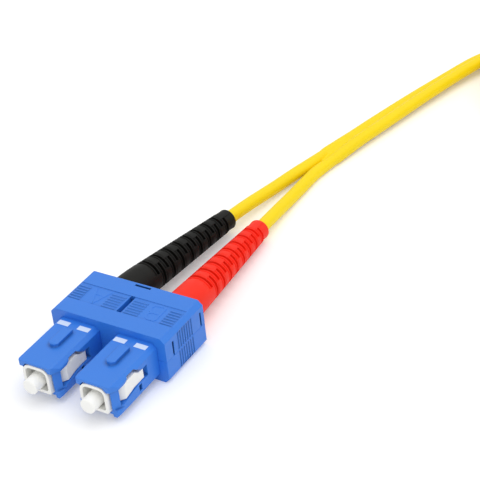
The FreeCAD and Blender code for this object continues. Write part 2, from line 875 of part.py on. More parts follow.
def largest_radii(points):
    """For each corner of a route, the largest arc that its two runs leave room for."""
    radii = []
    for before, point, after in zip(points, points[1:], points[2:]):
        run = min((point - before).Length, (after - point).Length)
        turn = (point - before).getAngle(after - point)
        radii.append(LARGEST_ARC_SHARE * run / math.tan(turn / 2))
    return radii


def sweep(label, path, section, area):
    """A solid along a path, its volume compared with its section times its length."""
    solid = path.makePipeShell([section], True, False)
    expected = area * path.Length
    if abs(solid.Volume - expected) > expected / 100:
        raise RuntimeError(f"{label}: volume {solid.Volume:.1f}, expected {expected:.1f}")
    return solid


def cord_piece(label, shape):
    piece = doc.addObject("Part::Feature", label)
    piece.Label = label
    piece.Shape = shape
    piece.Placement = FreeCAD.Placement()
    pieces.append(piece)


def make_leg(label, points, radii):
    """One jacket of the cable, with a bore at its plug for the fibre."""
    path = cord_path(points, radii)
    print(f"{label}: length {path.Length:.1f}, radii {[round(radius, 1) for radius in radii]}")
    start, heading = points[0], (points[1] - points[0]).normalize()
    section = polygon_across(start, heading, d.jacket_radius.number, JACKET_SIDES)
    solid = sweep(label, path, section, Part.Face(section).Area)
    depth = d.jacket_bore_rear.number - d.jacket_front.number
    hole = flats_on(d.fibre_radius + d.fibre_clearance, TURNED_SIDES).number
    bore = Part.Face(polygon_across(start, heading, hole, TURNED_SIDES)).extrude(heading * depth)
    return solid.cut(bore)


def polygon_across(centre, heading, radius, sides):
    """A regular polygon across a heading, with a flat on top."""
    right = heading.cross(Vector(0, 0, 1)).normalize()
    up = right.cross(heading)
    spots = [centre + right * x + up * y for x, y in regular(0, 0, radius, sides)]
    return Part.makePolygon(spots + spots[:1])


def make_near_leg(label, side, turn, roll, route):
    """A leg that follows its boot and then lies down to the split."""
    x = (side * d.plug_pitch / 2).number
    height = d.axis_height.number
    bend = bend_radius(turn).number
    tilt, angle = math.radians(turn.number), math.radians(roll.number)
    start = Vector(x, (plug_y + d.jacket_front).number, height)
    corner = Vector(x, (plug_y + d.boot_bend_start).number + bend * math.tan(tilt / 2), height)
    heading = Vector(math.sin(tilt) * math.cos(angle), math.cos(tilt), -math.sin(tilt) * math.sin(angle))
    points = [start, corner, corner + heading * LEG_RUN_PAST_BOOT] + [Vector(*point) for point in route]
    cord_piece(label, make_leg(label, points, [bend] + largest_radii(points)[1:]))


def make_far_leg(label, side, route, coil):
    """A leg from the coil to the far plug, straight in its boot."""
    x = (d.far_end_x + side * d.plug_pitch / 2).number
    end = Vector(x, (d.far_end_y + plug_y + d.jacket_front).number, d.axis_height.number)
    points = [end] + [Vector(*point) for point in reversed(route)]
    outside = make_leg(label, points, largest_radii(points)).cut(coil)
    cord_piece(label, max(outside.Solids, key=lambda solid: solid.Volume))


def make_zipcord(label, coil):
    """Both jackets side by side, flat on the floor, up to the coil."""
    points = [Vector(*point) for point in ZIP_ROUTE]
    radii = largest_radii(points)
    path = cord_path(points, radii)
    print(f"{label}: length {path.Length:.1f}, radii {[round(radius, 1) for radius in radii]}")
    across = (points[1] - points[0]).cross(Vector(0, 0, 1)).normalize()
    wide, tall = 2 * d.jacket_radius.number, d.jacket_radius.number
    corner = d.zip_corner.number
    rim = [
        (wide - corner, -tall),
        (wide, 0),
        (wide - corner, tall),
        (corner - wide, tall),
        (-wide, 0),
        (corner - wide, -tall),
    ]
    spots = [points[0] + across * x + Vector(0, 0, y) for x, y in rim]
    section = Part.makePolygon(spots + spots[:1])
    solid = sweep(label, path, section, Part.Face(section).Area)
    cord_piece(label, solid.cut(coil))


def make_coil_and_tie():
    """A ring of the coil's outer shape, with a flat strap round it."""
    half_band = d.coil_turns_a_layer * d.jacket_radius
    height = d.coil_layers * d.jacket_radius * 4
    ring = []
    for name, radius in (("coil_outside", d.coil_middle_radius + half_band),
                         ("coil_inside", d.coil_middle_radius - half_band)):
        prism = doc.addObject("Part::Prism", name)
        prism.Polygon = COIL_SIDES
        bind(prism, "Circumradius", radius)
        bind(prism, "Height", height)
        bind(prism, "Placement.Base.x", d.coil_x)
        bind(prism, "Placement.Base.y", d.coil_y)
        ring.append(prism)
    whole = cut_piece("coil_ring", ring[0], ring[1])
    edge = d.coil_middle_radius + half_band
    inner = strap_box("tie_inside", edge, half_band * 2, d.tie_thickness, height - d.tie_thickness, 0)
    outer = strap_box("tie_outside", edge, half_band * 2, 0, height + d.tie_thickness, d.tie_thickness)
    tie = cut_piece("tie", outer, inner)
    coil = cut_piece("coil", whole, tie)
    pieces.extend([coil, tie])
    doc.recompute()
    return whole.Shape


def strap_box(name, edge, depth, bottom, height, margin):
    """A box round the coil's band where the strap passes, larger by a margin to the front and rear."""
    box = doc.addObject("Part::Box", name)
    bind(box, "Length", d.tie_width)
    bind(box, "Width", depth + 2 * as_size(margin))
    bind(box, "Height", height)
    bind(box, "Placement.Base.x", d.coil_x - d.tie_width / 2)
    bind(box, "Placement.Base.y", d.coil_y - edge - margin)
    bind(box, "Placement.Base.z", bottom)
    return box


def cut_piece(label, base, tool):
    made = doc.addObject("Part::Cut", label)
    made.Label = label
    made.Base = base
    made.Tool = tool
    return made


def make_plug(letter, place):
    """The pieces that slide over one another in a plug, from the outside in."""
    make_grip(f"grip_{letter}", place)
    make_plug_frame(f"plug_frame_{letter}", place)
    make_ferrule(f"ferrule_{letter}", place)
    make_dust_cap(f"dust_cap_{letter}", place)


def make_plain_plug(letter, place):
    """The far plug without windows or works: sleeve, inner housing, ferrule with its collar, and cap."""
    grip = grip_sleeve(f"far_grip_{letter}", place)
    add_key(grip)
    frame = frame_block(f"far_plug_frame_{letter}", place)
    bore_frame(frame)
    stepped_piece(
        f"far_ferrule_{letter}",
        place,
        [(d.ferrule_radius, -d.ferrule_reach, d.seat_rear), (d.collar_radius, d.seat_rear, d.ferrule_rear)],
        [],
    )
    make_dust_cap(f"far_dust_cap_{letter}", place)


def make_plug_works(letter, place):
    """The pieces inside a plug, from the ferrule's collar back to the cable."""
    make_flange(f"ferrule_flange_{letter}", place)
    make_spring(f"spring_{letter}", place)
    make_back_post(f"back_post_{letter}", place)
    make_crimp_sleeve(f"crimp_sleeve_{letter}", place)
    make_fibre(f"fibre_{letter}", place)


def check_and_write():
    """Stops on a failed object or a cut that removes nothing, then writes every piece."""
    doc.recompute()
    for thing in doc.Objects:
        if "Invalid" in thing.State or "Error" in thing.State:
            raise RuntimeError(f"{thing.Name} ({thing.Label}) failed: {thing.State}")
        if thing.TypeId in ("PartDesign::Pocket", "PartDesign::Groove", "PartDesign::SubtractiveLoft"):
            if thing.Shape.Volume >= thing.BaseFeature.Shape.Volume:
                raise RuntimeError(f"{thing.Name} removes nothing")
    os.makedirs("parts", exist_ok=True)
    for piece in pieces:
        shape = piece.Shape
        if shape.isNull() or not shape.isValid() or len(shape.Solids) != 1:
            raise RuntimeError(f"{piece.Label} is not one valid solid")
        shape.exportStep(f"parts/{piece.Label}.step")


near_boots = {"a": (d.boot_a_turn, d.boot_a_roll), "b": (d.boot_b_turn, d.boot_b_roll)}
near_routes = {"a": LEG_A_ROUTE, "b": LEG_B_ROUTE}
far_routes = {"a": FAR_LEG_A_ROUTE, "b": FAR_LEG_B_ROUTE}
make_clip("", (0, 0, 0), detailed=True)
make_clip("far_", (d.far_end_x, d.far_end_y, 0), detailed=False)
coil_ring = make_coil_and_tie()
for letter, side in (("a", -1), ("b", 1)):
    near_place = (side * d.plug_pitch / 2, plug_y, d.axis_height)
    make_plug(letter, near_place)
    make_plug_works(letter, near_place)
    make_bent_boot(f"boot_{letter}", near_place, *near_boots[letter])
    make_near_leg(f"leg_{letter}", side, *near_boots[letter], near_routes[letter])
    far_place = (d.far_end_x + side * d.plug_pitch / 2, d.far_end_y + plug_y, d.axis_height)
    make_plain_plug(letter, far_place)
    make_straight_boot(f"far_boot_{letter}", far_place)
    make_far_leg(f"far_leg_{letter}", side, far_routes[letter], coil_ring)
make_zipcord("zipcord", coil_ring)
check_and_write()
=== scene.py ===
import json
import math

import bpy
import bmesh
from bpy.props import FloatProperty, FloatVectorProperty, IntProperty, PointerProperty
from mathutils import Matrix, Vector


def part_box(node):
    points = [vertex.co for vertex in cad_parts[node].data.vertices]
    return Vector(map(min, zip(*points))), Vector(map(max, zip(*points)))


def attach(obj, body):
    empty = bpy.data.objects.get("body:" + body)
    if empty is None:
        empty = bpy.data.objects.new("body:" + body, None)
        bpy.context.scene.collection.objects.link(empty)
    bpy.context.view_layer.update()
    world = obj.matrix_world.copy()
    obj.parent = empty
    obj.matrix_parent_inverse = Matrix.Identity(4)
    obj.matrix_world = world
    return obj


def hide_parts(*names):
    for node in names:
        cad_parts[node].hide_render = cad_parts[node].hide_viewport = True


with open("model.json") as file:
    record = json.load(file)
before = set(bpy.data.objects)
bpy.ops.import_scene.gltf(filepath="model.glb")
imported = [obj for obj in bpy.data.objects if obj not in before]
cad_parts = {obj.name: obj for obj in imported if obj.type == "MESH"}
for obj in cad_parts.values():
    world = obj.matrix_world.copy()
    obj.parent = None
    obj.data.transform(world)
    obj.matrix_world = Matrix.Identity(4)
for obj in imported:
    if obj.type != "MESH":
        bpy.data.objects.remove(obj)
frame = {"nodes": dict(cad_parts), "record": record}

bl_info = {
    "name": "Duplex fibre patch cable",
    "version": (1, 0, 0),
    "blender": (4, 5, 0),
    "location": "3D View > Sidebar > Patch cable",
    "description": "Looks of a twin fibre lead: plugs, clip, boots, cable and studio",
    "category": "Object",
}

MM = 0.001
TURN = 2 * math.pi
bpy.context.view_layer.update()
IMAGE_WIDTH = 480
SENSOR_WIDTH = 36.0
LETTERS = ("a", "b")
ENDS = ("", "far_")
SLOT_OF = {part["node"]: part["material_slot"] for part in frame["record"]["subparts"]}

# Steps of the round forms
ROUND_SIDES = 48
ROUNDING_STEPS = 4
JACKET_STEPS = 6
ROUTE_STEPS = 10
BOOT_SIDES = 60
NECK_STEPS = 4
SLOT_END = math.radians(0.8)
LIP_TURNS = [math.radians(turn) for turn in (90, 60, 30, 0)]
BOOT_END_SHARES = (1, 0.7, 0.4, 0.15, 0)

# Where the cable joins its coil, in degrees from the X axis
COIL_START = 146.0

# Routes of the cable in metres: the solids' points with the lift that the cable's lean gives, and each leg
# carried on into its half of the flat cable
LEG_A_ROUTE = [
    (-0.00635, 0.00375, 0.0048),
    (-0.00635, 0.01040, 0.0048),
    (-0.00560, 0.01700, 0.0045),
    (-0.00261, 0.04316, 0.00333),
    (-0.00210, 0.05000, 0.00260),
    (-0.00110, 0.05740, 0.00190),
    (0.00022, 0.06460, 0.00178),
    (0.00135, 0.06851, 0.00188),
    (0.00247, 0.07490, 0.00177),
]
LEG_B_ROUTE = [
    (0.00635, 0.00375, 0.0048),
    (0.00635, 0.01040, 0.0048),
    (0.00599, 0.01700, 0.00435),
    (0.00454, 0.04328, 0.00257),
    (0.00415, 0.05020, 0.00200),
    (0.00390, 0.05740, 0.00150),
    (0.00378, 0.06440, 0.00140),
    (0.00388, 0.06800, 0.00140),
    (0.00522, 0.07464, 0.00144),
]
ZIP_ROUTE = [
    (0.00315, 0.0712, 0.00164),
    (0.00395, 0.0754, 0.0016),
    (0.0056, 0.0829, 0.0018),
    (0.0083, 0.0946, 0.0019),
    (0.0112, 0.1070, 0.0020),
    (0.0146, 0.1196, 0.0021),
    (0.0174, 0.1281, 0.0024),
    (0.0220, 0.1366, 0.0027),
    (0.0286, 0.1466, 0.0028),
]
FAR_LEG_A_ROUTE = [
    (0.08440, 0.1334, 0.0098),
    (0.08465, 0.1294, 0.0098),
    (0.08420, 0.1180, 0.0092),
    (0.08100, 0.1050, 0.0070),
    (0.07830, 0.0925, 0.0048),
    (0.07830, 0.0504, 0.0048),
]
FAR_LEG_B_ROUTE = [
    (0.08440, 0.1334, 0.0070),
    (0.08465, 0.1294, 0.0070),
    (0.08530, 0.1180, 0.0066),
    (0.08850, 0.1050, 0.0054),
    (0.09100, 0.0925, 0.0048),
    (0.09100, 0.0504, 0.0048),
]
# How far the flat cable leans on its edge, in degrees, at distances along it in metres
ZIP_LEAN = [(0.0, -10.0), (0.014, 10.0), (0.053, 24.0), (0.078, 60.0), (0.093, 90.0)]

# Strokes of the two port letters in millimetres, to be read from the cable's side
LETTER_STROKES = {
    "a": [
        [(3.4, 4.2), (1.85, 0.0), (1.55, 0.0), (0.0, 4.2)],
        [(2.7, 2.7), (0.7, 2.7)],
    ],
    "b": [
        [
            (2.5, 4.2), (2.8, 3.9), (2.8, 0.3), (2.5, 0.0),
            (1.3, 0.0), (0.6, 0.3), (0.3, 1.0), (0.6, 1.7), (1.1, 2.0),
            (0.4, 2.3), (0.0, 3.1), (0.4, 3.9), (1.2, 4.2), (2.5, 4.2),
        ],
        [(2.6, 2.0), (1.3, 2.0)],
    ],
}

BOX_FACES = [(0, 1, 2, 3), (4, 5, 6, 7), (0, 1, 5, 4), (1, 2, 6, 5), (2, 3, 7, 6), (3, 0, 4, 7)]

# Height of the moulded grain, and the finish of each slot with its colour's name; where groove shading is
# set, shade is painted into the slot's grooves and inner corners
GRAIN_DEPTH = 0.05 * MM
FINISHES = {
    "blue_plastic": {"shade": "blue", "roughness": 0.42, "bump": 0.12, "drift": 0.04, "groove_shaded": True},
    "white_plastic": {"shade": "white", "roughness": 0.45, "bump": 0.08, "drift": 0.03, "groove_shaded": True},
    "cap_plastic": {"shade": "cap", "roughness": 0.4, "bump": 0.06, "drift": 0.03},
    "paint_white": {"shade": "paint", "roughness": 0.6, "bump": 0.2, "drift": 0.04},
    "black_rubber": {
        "shade": "black", "roughness": 0.6, "bump": 0.25, "drift": 0.12, "fine": 4000.0, "shine": 0.2,
    },
    "red_rubber": {
        "shade": "red", "roughness": 0.55, "bump": 0.2, "drift": 0.04, "fine": 4000.0, "shine": 0.3,
    },
    "yellow_jacket": {
        "shade": "yellow", "roughness": 0.5, "bump": 0.15, "drift": 0.04, "fine": 3000.0, "shine": 0.3,
    },
    "ceramic": {"shade": "ceramic", "roughness": 0.15, "bump": 0.02, "drift": 0.02},
    "flange_metal": {"shade": "nickel", "roughness": 0.3, "bump": 0.1, "drift": 0.05, "metal": 1.0},
    "spring_steel": {"shade": "steel", "roughness": 0.3, "bump": 0.1, "drift": 0.05, "metal": 1.0},
    "crimp_metal": {"shade": "aluminium", "roughness": 0.35, "bump": 0.2, "drift": 0.06, "metal": 1.0},
    "buffer": {"shade": "buffer", "roughness": 0.4, "bump": 0.05, "drift": 0.03},
    "strap_fabric": {"shade": "black", "roughness": 0.85, "bump": 0.8, "drift": 0.3, "fine": 2500.0},
}


def length(name, millimetres, description):
    return FloatProperty(
        name=name, description=description, default=millimetres * MM, unit="LENGTH", precision=5
    )


def angle(name, degrees, description):
    return FloatProperty(name=name, description=description, default=math.radians(degrees), subtype="ANGLE")


def number(name, amount, description):
    return FloatProperty(name=name, description=description, default=amount)


def whole_number(name, amount, description):
    return IntProperty(name=name, description=description, default=amount)


def colour(name, red, green, blue, description):
    return FloatVectorProperty(
        name=name, description=description, default=(red, green, blue), subtype="COLOR", min=0, max=1
    )


def position(name, x, y, z, description):
    return FloatVectorProperty(name=name, description=description, default=(x, y, z), subtype="TRANSLATION")


class CableSizes(bpy.types.PropertyGroup):
    """Sizes of the cable and of its coil."""

    jacket_radius: length("Jacket radius", 1.4, "Radius of one round jacket")
    web_dip: length("Web dip", 0.95, "How deep the valley between the two jackets is")
    leg_share: number("Leg end", 0.88, "Size of a leg's end inside the flat cable")
    split_share: number("Split", 0.6, "Size of the flat cable's ends between the legs")
    split_length: length("Split length", 4.0, "How far the flat cable grows out of the legs")
    coil_x: length("Coil x", 54.0, "Middle of the coil across the plugs")
    coil_y: length("Coil y", 129.45, "Middle of the coil along the plugs")
    coil_outer: length("Coil outer radius", 30.65, "Middle of the cable in the outermost turn")
    coil_inner: length("Coil inner radius", 24.0, "Middle of the cable in the innermost turn")
    coil_start: angle("Coil start", COIL_START, "Where the cable joins the coil")
    coil_turns: number("Coil turns", 4 + COIL_START / 360, "Turns of the coil")
    climb_start: number("Climb start", 2.0, "Turns before the cable climbs")
    climb_end: number("Climb end", 2.4, "Turns before it lies on the top layer")
    turn_points: whole_number("Points a turn", 24, "Control points in each turn")
    strap_lift: length("Strap lift", 0.8, "Lift of the turns over the strap")
    strap_angle: angle("Strap place", -90.0, "Where the strap is round the coil")
    strap_reach: angle("Strap reach", 26.0, "How far from the strap the lift fades out")


class BootSizes(bpy.types.PropertyGroup):
    """Sizes of the boots, along the plug from the front of its grip."""

    front: length("Front", 19.0, "Front of the spigot")
    shoulder: length("Shoulder", 25.4, "Front of the shoulder")
    bend: length("Bend", 27.2, "Start of the bent neck")
    neck: length("Neck", 7.3, "Length of the bent neck")
    taper: length("Taper", 34.4, "Length of the neck and the taper together")
    spigot_radius: length("Spigot radius", 2.8, "Radius inside the grip")
    shoulder_radius: length("Shoulder radius", 3.35, "Radius inside the clip")
    root_radius: length("Root radius", 3.75, "Radius where the neck starts")
    root_bevel: length("Root bevel", 0.12, "Bevel where the neck starts")
    end_radius: length("End radius", 2.2, "Radius at the cable's end")
    bore_radius: length("Bore radius", 1.45, "Radius of the hole for the jacket")
    sleeve_radius: length("Sleeve radius", 2.3, "Radius of the hole for the crimp sleeve")
    edge: length("Edge", 0.3, "Rounding of the boot's end")
    slot_first: length("First slot", 8.5, "First top slot past the bend")
    slot_pitch: length("Slot pitch", 3.05, "From one slot to the next")
    slot_width: length("Slot width", 0.65, "Width of a slot")
    slot_lip: length("Slot lip", 0.25, "Rounding of a slot's lips")
    slot_draft: length("Slot draft", 0.015, "How much a slot's wall leans in at its floor")
    slot_floor: length("Slot floor", 1.75, "Radius of the slots' floor")
    slot_half_angle: angle("Slot half angle", 62.0, "How far a slot reaches to each side")
    slot_rows: whole_number("Slot rows", 8, "Rows of slots on each side")
    turn_a: angle("Turn of boot a", 7.0, "Bend of the black boot")
    roll_a: angle("Roll of boot a", 21.4, "Direction of the black boot's bend")
    turn_b: angle("Turn of boot b", 5.0, "Bend of the red boot")
    roll_b: angle("Roll of boot b", 129.0, "Direction of the red boot's bend")


class PlugSizes(bpy.types.PropertyGroup):
    """Sizes of the white pieces of a plug, from the front of its grip and from its axis."""

    axis_height: length("Axis height", 4.8, "The plug's axis over the floor")
    grip_height: length("Grip height", 7.4, "Height of the grip without its key")
    ferrule_radius: length("Ferrule radius", 1.25, "Radius of the ferrule")
    ferrule_reach: length("Ferrule reach", 0.5, "How far the ferrule stands out of the grip")
    ferrule_rear: length("Ferrule rear", 10.0, "Rear of the ferrule")
    ferrule_chamfer: length("Ferrule chamfer", 0.35, "Bevel of the ferrule's tip")
    cap_radius: length("Cap radius", 1.55, "Outside radius of the dust cap")
    cap_bore: length("Cap bore", 1.28, "Radius of the hole in the dust cap")
    cap_gap: length("Cap gap", 0.1, "Room in the cap's hole in front of the ferrule")
    cap_front: length("Cap front", 2.3, "How far the cap stands out of the grip")
    cap_rear: length("Cap rear", 4.9, "Rear of the cap")
    cap_edge: length("Cap edge", 0.3, "Rounding of the cap's front")
    mark_inner: length("Mark inner side", 1.0, "Inner side of a painted mark from the axis")
    mark_outer: length("Mark outer side", 3.55, "Outer side of a painted mark from the axis")
    mark_front: length("Mark front", 11.7, "Front of a painted mark")
    mark_rear: length("Mark rear", 12.9, "Rear of a painted mark")
    mark_thickness: length("Mark thickness", 0.03, "Thickness of the paint")


class Finishes(bpy.types.PropertyGroup):
    """Colours of the pieces, as they are under plain light."""

    blue: colour("Blue", 0.027, 0.195, 0.72, "Plugs and clip")
    white: colour("White", 0.91, 0.91, 0.88, "Inner housing")
    cap: colour("Cap", 0.94, 0.94, 0.91, "Dust caps")
    paint: colour("Paint", 0.62, 0.73, 0.93, "Marks on the grips")
    black: colour("Black", 0.005, 0.005, 0.004, "Black boot and strap")
    red: colour("Red", 0.95, 0.022, 0.005, "Red boot")
    yellow: colour("Yellow", 0.95, 0.71, 0.003, "Cable jackets")
    ceramic: colour("Ceramic", 0.88, 0.87, 0.84, "Ferrules")
    nickel: colour("Nickel", 0.62, 0.60, 0.55, "Flanges and posts")
    steel: colour("Steel", 0.55, 0.55, 0.55, "Springs")
    aluminium: colour("Aluminium", 0.72, 0.72, 0.72, "Crimp sleeves")
    buffer: colour("Buffer", 0.85, 0.84, 0.78, "Buffered fibre")
    # Reach of the shade that is painted into the grooves and inner corners of the blue and white plastics
    painted_shade_reach: length("Painted shade reach", 0.9, "How far the shade of a seam spreads on the moulded pieces")


class Studio(bpy.types.PropertyGroup):
    """Camera, lamps and floor."""

    azimuth: angle("Azimuth", 33.8156, "Camera's turn round the plugs")
    elevation: angle("Elevation", 33.5971, "Camera's height over the floor")
    roll: angle("Roll", -6.08896, "Camera's tilt")
    distance: length("Distance", 272.132, "Camera's distance from the clip")
    across: length("Across", -23.6961, "The clip's place in the frame, to the right")
    upwards: length("Upwards", -23.5189, "The clip's place in the frame, upwards")
    aim_y: length("Aim", -6.55, "The point of the clip that the camera's place is measured from")
    focal_pixels: number("Focal length", 1456.943, "In pixels of a picture that is 480 wide")
    floor_side: length("Floor", 3000.0, "Side of the floor")
    floor_colour: colour("Floor colour", 0.93, 0.93, 0.93, "Pale floor")
    floor_roughness: number("Floor roughness", 0.9, "Roughness of the floor")
    floor_shine: number("Floor shine", 0.1, "Strength of the floor's reflections")
    floor_glow: number("Floor glow", 0.17, "White added where the floor is seen")
    world_light: number("Surrounding light", 0.72, "Strength of the white room")
    key_power: number("Key light", 3.0, "Power of the large overhead lamp")
    key_side: length("Key size", 900.0, "Side of the overhead lamp")
    key_place: position("Key place", 0.2, 0.1, 0.8, "Middle of the overhead lamp")
    fill_power: number("Front light", 0.6, "Power of the lamp in front")
    fill_side: length("Front size", 600.0, "Side of the front lamp")
    fill_place: position("Front place", 0.25, -0.7, 0.3, "Middle of the front lamp")


# Meshes

def bridged(rings, looped=False):
    """Points and quads of a skin through rings of equally many points."""
    count = len(rings[0])
    points = [point for ring in rings for point in ring]
    faces = []
    pairs = len(rings) if looped else len(rings) - 1
    for ring in range(pairs):
        here = ring * count
        there = (ring + 1) % len(rings) * count
        for i in range(count):
            j = (i + 1) % count
            faces.append((here + i, here + j, there + j, there + i))
    return points, faces


def closed_ends(points, faces, count):
    """Adds a face to the first and to the last ring of a skin."""
    last = len(points) - count
    return points, faces + [tuple(range(count)), tuple(range(last, last + count))]


def add_piece(name, shape, body, slot, replaced=(), sharp=40.0):
    """A mesh piece that rides on a body, with the finish of a slot."""
    points, faces = shape
    mesh = bpy.data.meshes.new(name)
    mesh.from_pydata(points, [], faces)
    work = bmesh.new()
    work.from_mesh(mesh)
    bmesh.ops.recalc_face_normals(work, faces=work.faces)
    work.to_mesh(mesh)
    work.free()
    mesh.shade_smooth()
    mesh.set_sharp_from_angle(angle=math.radians(sharp))
    mesh.materials.append(finish(slot))
    piece = bpy.data.objects.new(name, mesh)
    bpy.context.scene.collection.objects.link(piece)
    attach(piece, body)
    if replaced:
        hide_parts(*replaced)
    return piece


def plug_place(end, letter):
    """The middle of a plug's front, from its grip's box."""
    low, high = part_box(f"{end}grip_{letter}")
    return Vector(((low.x + high.x) / 2, low.y, bpy.context.scene.cable_plugs.axis_height))


def turned(place, profile):
    """Skin with closed ends round a plug's axis, through (along, radius) pairs."""
    turns = [TURN * side / ROUND_SIDES for side in range(ROUND_SIDES)]
    rings = [
        [place + Vector((radius * math.sin(turn), along, radius * math.cos(turn))) for turn in turns]
        for along, radius in profile
    ]
    return closed_ends(*bridged(rings), ROUND_SIDES)


# Finishes

def new_group(name, takes, gives):
    """A node group with named inputs and their defaults and named outputs, and its two end nodes."""
    group = bpy.data.node_groups.new(name, "ShaderNodeTree")
    for side, sockets in (("INPUT", takes), ("OUTPUT", gives)):
        for socket in sockets:
            kind = "NodeSocketColor" if socket == "Colour" else "NodeSocketFloat"
            made = group.interface.new_socket(socket, in_out=side, socket_type=kind)
            if side == "INPUT":
                made.default_value = takes[socket]
    return group, group.nodes.new("NodeGroupInput"), group.nodes.new("NodeGroupOutput")


def put_group(tree, group, settings):
    """A group's node in a material, with its own values."""
    node = tree.nodes.new("ShaderNodeGroup")
    node.node_tree = group
    for socket, amount in settings.items():
        node.inputs[socket].default_value = amount
    return node


def reckon(tree, operation, first, second):
    """The result of a math node on two sockets or plain numbers."""
    node = tree.nodes.new("ShaderNodeMath")
    node.operation = operation
    for socket, value in zip(node.inputs, (first, second)):
        if isinstance(value, float):
            socket.default_value = value
        else:
            tree.links.new(value, socket)
    return node.outputs[0]


def surface_noise(tree, scale, detail):
    """Noise that is fixed to the piece."""
    place = tree.nodes.new("ShaderNodeTexCoord")
    noise = tree.nodes.new("ShaderNodeTexNoise")
    noise.inputs["Detail"].default_value = detail
    tree.links.new(place.outputs["Object"], noise.inputs["Vector"])
    tree.links.new(scale, noise.inputs["Scale"])
    return noise.outputs["Fac"]


def grain_group():
    """Fine moulded grain: a roughness that varies a little and a height for bump."""
    name = "moulded_grain"
    if name in bpy.data.node_groups:
        return bpy.data.node_groups[name]
    takes = {"Fine scale": 6000.0, "Broad scale": 250.0, "Roughness": 0.4, "Spread": 0.06}
    group, given, out = new_group(name, takes, ("Roughness", "Height"))
    fine = surface_noise(group, given.outputs["Fine scale"], detail=3.0)
    broad = surface_noise(group, given.outputs["Broad scale"], detail=4.0)
    centred = reckon(group, "SUBTRACT", broad, 0.5)
    spread = reckon(group, "MULTIPLY", centred, given.outputs["Spread"])
    roughness = reckon(group, "ADD", spread, given.outputs["Roughness"])
    group.links.new(roughness, out.inputs["Roughness"])
    group.links.new(fine, out.inputs["Height"])
    return group


def tint_group():
    """A colour that drifts a little lighter and darker over the surface."""
    name = "colour_drift"
    if name in bpy.data.node_groups:
        return bpy.data.node_groups[name]
    takes = {"Colour": (0, 0, 0, 1), "Scale": 120.0, "Amount": 0.1}
    group, given, out = new_group(name, takes, ("Colour",))
    bright = group.nodes.new("ShaderNodeMapRange")
    shade = group.nodes.new("ShaderNodeHueSaturation")
    links = group.links
    links.new(surface_noise(group, given.outputs["Scale"], detail=2.0), bright.inputs["Value"])
    links.new(reckon(group, "SUBTRACT", 1.0, given.outputs["Amount"]), bright.inputs["To Min"])
    links.new(reckon(group, "ADD", 1.0, given.outputs["Amount"]), bright.inputs["To Max"])
    links.new(bright.outputs["Result"], shade.inputs["Value"])
    links.new(given.outputs["Colour"], shade.inputs["Color"])
    links.new(shade.outputs["Color"], out.inputs["Colour"])
    return group


def groove_shade_group():
    """Painted shade: a colour made darker by ambient occlusion in a piece's own grooves and inner corners.
    """
    name = "seam_shade"
    if name in bpy.data.node_groups:
        return bpy.data.node_groups[name]
    group, given, out = new_group(name, {"Colour": (0, 0, 0, 1), "Reach": MM}, ("Colour",))
    # Ambient occlusion darkens the colour where less light reaches: painted shade
    grooves = group.nodes.new("ShaderNodeAmbientOcclusion")
    grooves.only_local = True
    group.links.new(given.outputs["Colour"], grooves.inputs["Color"])
    group.links.new(given.outputs["Reach"], grooves.inputs["Distance"])
    group.links.new(grooves.outputs["Color"], out.inputs["Colour"])
    return group


def moulded(name, shade, roughness, bump, drift, fine=6000.0, metal=0.0, shine=0.5, groove_shaded=False):
    """A material with a drifting colour and fine grain, and with shade painted into its grooves and inner
    corners where that is asked for.
    """
    finishes = bpy.context.scene.cable_finishes
    material = bpy.data.materials.new(name)
    material.use_nodes = True
    tree = material.node_tree
    shader = tree.nodes["Principled BSDF"]
    tint = put_group(tree, tint_group(), {"Colour": (*getattr(finishes, shade), 1), "Amount": drift})
    surface = tint.outputs["Colour"]
    # Painted shade: the colour is darkened in the piece's own grooves and inner corners
    if groove_shaded:
        groove_shade_node = put_group(tree, groove_shade_group(), {"Reach": finishes.painted_shade_reach})
        tree.links.new(surface, groove_shade_node.inputs["Colour"])
        surface = groove_shade_node.outputs["Colour"]
    grain = put_group(tree, grain_group(), {"Roughness": roughness, "Fine scale": fine})
    height = tree.nodes.new("ShaderNodeBump")
    height.inputs["Strength"].default_value = bump
    height.inputs["Distance"].default_value = GRAIN_DEPTH
    tree.links.new(surface, shader.inputs["Base Color"])
    tree.links.new(grain.outputs["Roughness"], shader.inputs["Roughness"])
    tree.links.new(grain.outputs["Height"], height.inputs["Height"])
    tree.links.new(height.outputs["Normal"], shader.inputs["Normal"])
    shader.inputs["Metallic"].default_value = metal
    shader.inputs["Specular IOR Level"].default_value = shine
    return material


def finish(slot):
    """The material of a slot, made when it is first asked for."""
    name = f"finish_{slot}"
    return bpy.data.materials.get(name) or moulded(name, **FINISHES[slot])


# Cable

def route_curve(name, points):
    """One smooth spline with the route's points as its control points."""
    data = bpy.data.curves.new(name, "CURVE")
    data.dimensions = "3D"
    spline = data.splines.new("NURBS")
    spline.points.add(len(points) - 1)
    for spot, point in zip(spline.points, points):
        spot.co = (*point, 1)
    spline.order_u = 3
    spline.use_endpoint_u = True
    data.resolution_u = ROUTE_STEPS
    piece = bpy.data.objects.new(name, data)
    bpy.context.scene.collection.objects.link(piece)
    return piece


def round_leg(name, points, node, inner):
    """One jacket by itself along its route, thinner at the end that lies in the flat cable."""
    sizes = bpy.context.scene.cable_sizes
    piece = route_curve(name, points)
    piece.data.splines[0].points[inner].radius = sizes.leg_share
    piece.data.bevel_depth = sizes.jacket_radius
    piece.data.bevel_resolution = JACKET_STEPS
    piece.data.use_fill_caps = True
    piece.data.materials.append(finish("yellow_jacket"))
    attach(piece, "cable")
    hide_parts(node)
    return piece


def line_length(points):
    return sum((after - before).length for before, after in zip(points, points[1:]))


def spline_points(name, controls):
    """The points that a spline with these control points runs through."""
    curve = route_curve(name, controls)
    bpy.context.view_layer.update()
    mesh = bpy.data.meshes.new_from_object(curve.evaluated_get(bpy.context.evaluated_depsgraph_get()))
    points = [vertex.co.copy() for vertex in mesh.vertices]
    bpy.data.meshes.remove(mesh)
    bpy.data.objects.remove(curve)
    return points


